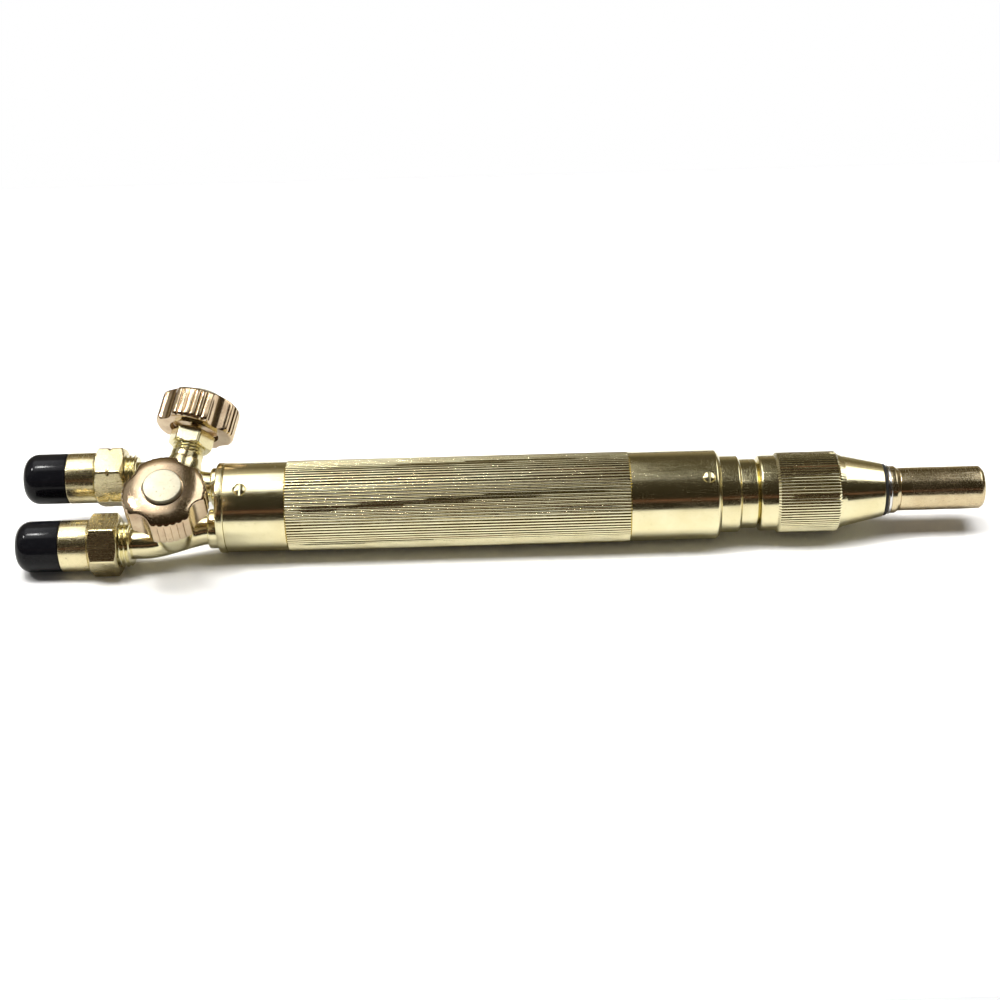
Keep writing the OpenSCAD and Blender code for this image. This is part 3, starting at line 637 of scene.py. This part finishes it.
def build_valve(side):
    """The knob, its hub disc and the packing nut."""
    place = VALVE[side]
    low, high = ends(f"{side}_knob", place)
    knob_r = radius_of(f"{side}_knob", place)
    hub_r = radius_of(f"{side}_knob_cap", place)
    seat, hub_top = ends(f"{side}_knob_cap", place)
    rim = high - 2.5
    body = [(low + RECESS_LEN, 1.63), (low + RECESS_LEN, RECESS_R), (low, RECESS_R), (low, knob_r - 1.0),
            (low + 1.0, knob_r), (rim - 0.3, knob_r)]
    outline = eased(body, 0.3)
    outline = finely(outline, low + 1.0, rim, 1.5)
    corner, dome_end = Vector((rim + 1.7, knob_r - 0.5)), Vector((high, hub_r + HUB_GAP + 0.2))
    begin = Vector((rim - 0.3, knob_r))
    for i in range(1, 21):
        t = i / 20
        outline.append(tuple(begin.lerp(corner, t).lerp(corner.lerp(dome_end, t), t)))
    outline += [(high - HUB_GAP, hub_r + HUB_GAP), (high - 2 * HUB_GAP, hub_r + HUB_GAP),
                (high - 2 * HUB_GAP, HUB_SEAT_R), (seat - 2, HUB_SEAT_R), (seat - 2, 1.63)]
    knob = lathe(outline, 640, lobed(knob_r + 0.1, KNOB_TURN[side]), closed=True)
    body_name = f"{side}_valve"
    piece(knob, f"{side}_hand_knob", place, body_name, BRONZE, "knob_bronze", f"{side}_knob")
    disc = lathe(eased([(seat + 1.5, 2), (seat + 1.5, hub_r - 0.6), (high - HUB_GAP, hub_r - 0.6),
                        (high - HUB_GAP, hub_r), (hub_top - 0.25, hub_r), (hub_top, hub_r - 0.3),
                        (hub_top, 3.0)], 0.12), 128)
    piece(disc, f"{side}_hub_disc", place, body_name, HUB, "knob_bronze", f"{side}_knob_cap")
    low, high = ends(f"{side}_packing_nut", place)
    across = 2 * radius_of(f"{side}_packing_nut", place) * math.cos(TAU / 12) + 0.05
    corner = corner_of(f"{side}_packing_nut", place)
    half = across / 2
    outline = [(low, NECK_THREAD_R + 0.05), (low, half - 0.25)]
    outline += [(low + (high - low) * i / 28, half) for i in range(29)]
    outline += [(high, half - 0.6), (high - 0.05, 2.1), (low + 3, 2.1), (low + 2.9, NECK_THREAD_R + 0.05)]
    nut = lathe(outline, 144, hexagon(across, corner, low, high, 0.9), closed=True)
    piece(nut, f"{side}_gland_nut", place, "torch", POLISHED, "polished_brass", f"{side}_packing_nut")


# Check valves

HOSE_THREAD_R = 7.1
HOSE_PITCH = 1.41
HOSE_THREAD_LEN = 10.6
CAP_ROUND, CAP_BORE = 4.6, 7.25


def build_check_valve(side):
    """The barrel with its hose thread, the swivel nut and the vinyl cap."""
    place = INLET[side]
    rear, front = ends(f"{side}_check_body", place)
    barrel_r = radius_of(f"{side}_check_body", place)
    nut_rear, nut_front = ends(f"{side}_swivel_nut", place)
    shoulder = rear + HOSE_THREAD_LEN
    outline = finely([(rear, HOSE_THREAD_R - 0.8), (rear + 0.8, HOSE_THREAD_R),
                      (shoulder - 0.2, HOSE_THREAD_R)], rear, shoulder, HOSE_PITCH / 10)
    outline += eased([(shoulder, HOSE_THREAD_R), (shoulder, barrel_r), (nut_rear - 0.2, barrel_r),
                      (nut_rear - 0.2, 5.2), (front, 5.2), (front, 3.7)], 0.4, 4)
    outline += [(shoulder - 1, 3.7), (shoulder - 1, 2), (shoulder - 3.6, 2), (shoulder - 3.6, 3.2),
                (rear, 3.2)]
    shape = screw_thread(rear - 1, shoulder - 0.5, HOSE_THREAD_R - 0.8, HOSE_PITCH)
    body = lathe(outline, 128, shape, closed=True)
    piece(body, f"{side}_check_barrel", place, "torch", SATIN, "satin_brass", f"{side}_check_body")
    across = 2 * radius_of(f"{side}_swivel_nut", place) * math.cos(TAU / 12)
    corner = corner_of(f"{side}_swivel_nut", place)
    half = across / 2
    outline = [(nut_rear, 5.3), (nut_rear, half - 0.25)]
    outline += [(nut_rear + (nut_front - nut_rear) * i / 40, half) for i in range(41)]
    outline += [(nut_front, half - 0.3), (nut_front, 7.2), (nut_rear + 4, 7.2), (nut_rear + 4, 5.3)]
    notch = 0.55 if side == "fuel" else None
    nut = lathe(outline, 192, hexagon(across, corner, nut_rear, nut_front, 1.0, notch), closed=True)
    piece(nut, f"{side}_union_nut", place, "torch", SATIN, "satin_brass", f"{side}_swivel_nut")
    rear, front = ends(f"{side}_thread_cap", place)
    cap_r = radius_of(f"{side}_thread_cap", place)
    outline = [(rear, 0.05)]
    outline += [(rear + CAP_ROUND * (1 - math.cos(a)), cap_r - CAP_ROUND * (1 - math.sin(a)))
                for a in np.linspace(0, TAU / 4, 14)]
    outline += eased([(front - 2, cap_r), (front, cap_r), (front, CAP_BORE), (front - 1, CAP_BORE)], 0.3)[1:]
    outline += [(rear + 3.4, CAP_BORE), (rear + 2.5, 6), (rear + 2.45, 0.05)]
    cap = lathe(outline, 96, closed=True)
    piece(cap, f"{side}_vinyl_cap", place, f"{side}_cap", VINYL, "black_vinyl", f"{side}_thread_cap")


# Coupling nut and tip

NUT_GROOVES = 80
NUT_BAND_LEN = 5.0
NUT_BAND_DROP = 0.75
NUT_KNURL_LEN = 19.2
NUT_GROOVE_DEPTH = 0.27
NUT_BORE_R = 9.6
NOSE_LEN = 12.5
NOSE_REAR_R, NOSE_FRONT_R, NOSE_BORE_R = 11.25, 8.5, 7.56


def build_coupling_nut():
    """The knurled nut with its tapered nose."""
    rear, front = ends("coupling_nut", TORCH)
    nut_r = radius_of("coupling_nut", TORCH)
    band_r = nut_r - NUT_BAND_DROP
    knurl = rear + NUT_BAND_LEN + 0.7
    knurl_end = knurl + NUT_KNURL_LEN
    nose = front - NOSE_LEN
    outline = eased([(rear, NUT_BORE_R), (rear, band_r - 0.3), (rear + 0.6, band_r),
                     (rear + NUT_BAND_LEN, band_r)], 0.2)
    outline += [(knurl - 0.4, nut_r - 0.75), (knurl + 0.3, nut_r)]
    outline += [(knurl + 0.3 + (NUT_KNURL_LEN - 0.9) * i / 8, nut_r) for i in range(1, 9)]
    outline += [(knurl_end, nut_r - 0.6)]
    outline += eased([(knurl_end + 0.1, nut_r - 0.65), (nose, NOSE_REAR_R), (front, NOSE_FRONT_R),
                      (front, NOSE_BORE_R), (front - 1, NOSE_BORE_R)], 0.25, 4)
    outline += [(rear + 15, NOSE_BORE_R), (rear + 15, NUT_BORE_R)]
    shape = straight_knurl(knurl - 0.1, knurl_end + 0.05, NUT_GROOVES, NUT_GROOVE_DEPTH)
    nut = lathe(outline, NUT_GROOVES * 8, shape, closed=True)
    piece(nut, "knurled_coupling", TORCH, "coupling_nut", KNURLED, "polished_brass", "coupling_nut")
    nut.data.materials.append(POLISHED)
    for face in nut.data.polygons:
        face.material_index = 0 if knurl - 0.4 < face.center.x / MM < knurl_end else 1


TIP_SHAFT_R = 7.5
FLAME_BORE_R = 5.0


def build_tip():
    """The tip body, its two rings and the tube."""
    rear, front = ends("tip_body", TORCH)
    tube_rear, tube_front = ends("tip_tube", TORCH)
    tip_r = radius_of("tip_tube", TORCH)
    flange_r = radius_of("tip_body", TORCH)
    ring_rear, ring_front = ends("tip_retaining_ring", TORCH)
    outline = eased([(rear, 1.5), (rear, 4.2), (rear + 17, 4.2), (rear + 19, 6.8),
                     (rear + 19.2, flange_r), (rear + 21.6, flange_r), (rear + 21.6, TIP_SHAFT_R),
                     (ring_rear, TIP_SHAFT_R), (ring_rear, TIP_SHAFT_R - 0.6),
                     (ring_front, TIP_SHAFT_R - 0.6), (ring_front, TIP_SHAFT_R),
                     (front - 1.3, TIP_SHAFT_R), (front, tip_r - 0.05), (front, tip_r - 1.3)], 0.12)
    outline += [(tube_rear, tip_r - 1.3), (tube_rear, 1.5)]
    piece(lathe(outline, 128, closed=True), "tip_shank", TORCH, "tip", TIP, "tip_brass", "tip_body")
    outline = eased([(front - 4, FLAME_BORE_R), (front - 4, 5.5), (front, 5.5), (front, tip_r),
                     (tube_front - 1.3, tip_r), (tube_front - 0.25, tip_r - 0.8),
                     (tube_front, tip_r - 1.3), (tube_front - 0.3, FLAME_BORE_R + 0.05),
                     (tube_front - 0.9, FLAME_BORE_R)], 0.35, 4)
    piece(lathe(outline, 144, closed=True), "flame_tube", TORCH, "tip", TIP, "tip_brass", "tip_tube")
    for node, name, material, slot in (("tip_nose_oring", "nose_seal", RUBBER, "black_rubber"),
                                       ("tip_retaining_ring", "nose_snap_ring", STEEL, "steel")):
        low, high = ends(node, TORCH)
        ring_r = radius_of(node, TORCH)
        middle, half = (low + high) / 2, (high - low) / 2
        bead = [(middle - half * math.cos(a), ring_r - half + half * math.sin(a))
                for a in np.linspace(0.2, 2.94, 15)]
        bead += [(high - 0.05, TIP_SHAFT_R - 0.5), (low + 0.05, TIP_SHAFT_R - 0.5)]
        piece(lathe(bead, 128, closed=True), name, TORCH, "tip", material, slot, node)


# CAD nodes that show as they are, or show in some poses

CAD_LOOKS = {
    "polished_brass": POLISHED, "satin_brass": SATIN, "tip_brass": TIP, "knob_bronze": BRONZE,
    "steel": STEEL, "black_rubber": RUBBER, "black_vinyl": VINYL, "white_packing": PACKING,
}


def dress_cad_nodes():
    """Gives every CAD node the look of its material slot."""
    slots = {row["node"]: row["material_slot"] for row in frame["record"]["subparts"]}
    for name, obj in frame["nodes"].items():
        look = CAD_LOOKS[slots[name]]
        if not obj.data.materials:
            obj.data.materials.append(look)
        for index in range(len(obj.data.materials)):
            obj.data.materials[index] = look


# Floor, lights and surroundings

def add_floor():
    """A sheet of white paper under the torch, which the metal mirrors a little darker than it is."""
    level = cad_bounds[0].z
    side, front, back = 0.6, -0.2, 0.3
    floor = mesh_object("paper", [(-side, front, level), (side, front, level), (side, back, level),
                                  (-side, back, level)], [(0, 1, 2, 3)])
    material, tree, shader, where = new_material("paper_look")
    cloud = noise(tree, where, 0.01, 3, 0.5)
    paint = ramp(tree, cloud, [(0.3, (0.90, 0.89, 0.87)), (0.7, (0.93, 0.92, 0.91))])
    mirrored = add(tree, "LightPath").outputs["Is Glossy Ray"]
    paint = blend_colour(tree, mirrored, paint, (0.57, 0.56, 0.53, 1))
    tree.links.new(paint, shader.inputs["Base Color"])
    shader.inputs["Roughness"].default_value = 0.6
    shader.inputs["Specular IOR Level"].default_value = 0.2
    floor.data.materials.append(material)


def add_lights():
    """One long soft light above the whole torch, which the metal mirrors as the world's softbox instead."""
    data = bpy.data.lights.new("key", "AREA")
    data.shape, data.size, data.size_y = "RECTANGLE", 1.2, 0.45
    data.energy = 15.5
    key = bpy.data.objects.new("key", data)
    key.location = (-0.056, 0, 0.8)
    key.visible_glossy = False
    bpy.context.scene.collection.objects.link(key)


LAMP_AIMS = ((-0.24, 0.0, 1), (-0.7, -0.1, 1))
LAMP_WIDTH = 2.5         # degrees
LAMP_LIGHT = (70, 70, 68, 1)


def toward(tree, direction, aim, width):
    """1 where a direction is within some degrees of an aim, softly falling to 0."""
    dot = add(tree, "VectorMath", {0: direction, 1: Vector(aim).normalized()}, operation="DOT_PRODUCT")
    near, far = math.cos(math.radians(width)), math.cos(math.radians(1.6 * width))
    return add(tree, "MapRange", {"Value": dot.outputs["Value"], "From Min": far, "From Max": near},
               interpolation_type="SMOOTHSTEP").outputs[0]


def add_world():
    """What the metal mirrors: a dark room, a beige wall behind the torch, a white softbox overhead
    towards the hoses with two lamps in it, and a second white panel past the tip."""
    world = bpy.data.worlds.new("studio")
    bpy.context.scene.world = world
    world.use_nodes = True
    tree = world.node_tree
    tree.nodes.clear()
    towards = add(tree, "TexCoord").outputs["Generated"]
    direction = add(tree, "SeparateXYZ", {0: towards})
    forward = arithmetic(tree, "MULTIPLY", direction.outputs["Y"], -1.0)
    rise = arithmetic(tree, "ARCTAN2", direction.outputs["Z"], forward)
    share = arithmetic(tree, "DIVIDE", rise, math.pi)
    dark, warm, white, beige = (0.024, 0.019, 0.011), (0.24, 0.12, 0.08), (2.4, 2.4, 2.4), (0.60, 0.53, 0.40)
    # colours by degrees above the horizon in front of the torch, over it and down behind it
    room = [(0, dark), (15, dark), (19, warm), (23, dark)]
    lit = room + [(58, (0.04, 0.034, 0.02)), (70, (0.12, 0.10, 0.06)), (74, white), (122, white),
                  (128, beige), (150, (0.16, 0.13, 0.08)), (180, (0.22, 0.19, 0.12))]
    unlit = room + [(70, (0.045, 0.036, 0.02)), (100, (0.08, 0.066, 0.036)), (150, (0.085, 0.07, 0.04)),
                    (168, (0.26, 0.22, 0.14)), (180, (0.40, 0.35, 0.25))]
    rooms = [ramp(tree, share, [(angle / 180, colour) for angle, colour in half]) for half in (lit, unlit)]
    across = arithmetic(tree, "MULTIPLY_ADD", direction.outputs["X"], 0.5, 0.5)
    # where along the torch the room is lit (0) or unlit (1)
    panels = [(-0.52, 0.85), (-0.38, 0), (-0.20, 0), (-0.08, 0.45), (0.09, 1), (0.33, 1), (0.37, 0),
              (0.75, 0), (0.80, 1)]
    seen = blend_colour(tree, ramp(tree, across, [(0.5 + 0.5 * x, dim) for x, dim in panels]), *rooms)
    for aim in LAMP_AIMS:
        seen = blend_colour(tree, toward(tree, towards, aim, LAMP_WIDTH), seen, LAMP_LIGHT)
    path = add(tree, "LightPath")
    soft = blend_colour(tree, path.outputs["Is Diffuse Ray"], seen, (0.10, 0.10, 0.10, 1))
    shown = blend_colour(tree, path.outputs["Is Camera Ray"], soft, (1.0, 1.0, 1.0, 1))
    background = add(tree, "Background", {"Color": shown, "Strength": 1.0})
    add(tree, "OutputWorld", {"Surface": background.outputs[0]})


add_camera()
dress_cad_nodes()
build_handle()
build_rear_head()
build_front_head()
for side in SIDES:
    build_arm(side)
    build_valve(side)
    build_check_valve(side)
build_coupling_nut()
build_tip()
add_floor()
add_lights()
add_world()
bpy.context.scene.view_settings.view_transform = "Standard"
